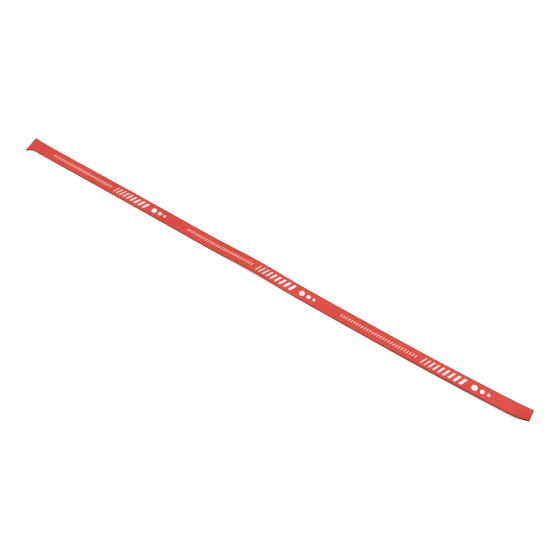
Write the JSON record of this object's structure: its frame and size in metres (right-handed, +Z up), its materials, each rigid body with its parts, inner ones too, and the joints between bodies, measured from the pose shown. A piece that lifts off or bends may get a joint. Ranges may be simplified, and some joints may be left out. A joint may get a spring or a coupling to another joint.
{
  "type": "racket edge tape",
  "caption": "Straight self-adhesive foam edge tape for a table tennis racket: red printed film, foam core, adhesive and a peel-off release liner.",
  "frame": {"origin": "middle of the footprint, on the surface that the strip lies on", "axes": "+X along the strip towards the end that lifts the most, +Z up from the surface, out of the printed face"},
  "size_m": [0.5, 0.0162, 0.008],
  "materials": {
    "liner_paper": "silicone-coated glassine paper, satin",
    "adhesive": "clear acrylic adhesive, glossy and tacky, over the red foam",
    "foam": "closed-cell foam dyed red, matte, with fine open cells on the cut edges",
    "laminating_glue": "thin dry laminating glue",
    "film": "coated polyurethane film, matte with a fine grain",
    "ink": "screen-printed white ink, matte"
  },
  "bodies": {
    "liner": {"release_liner": "liner_paper"},
    "tape": {"adhesive_layer": "adhesive", "foam_core": "foam", "laminating_glue": "laminating_glue", "face_film": "film", "printed_marks": "ink"}
  },
  "joints": [
    {"name": "peel", "type": "hinge", "parent": "liner", "child": "tape", "pos_m": [-0.25, 0, 0.00161], "axis": [0, -0.9838, -0.1794], "range_deg": [0, 150]}
  ]
}
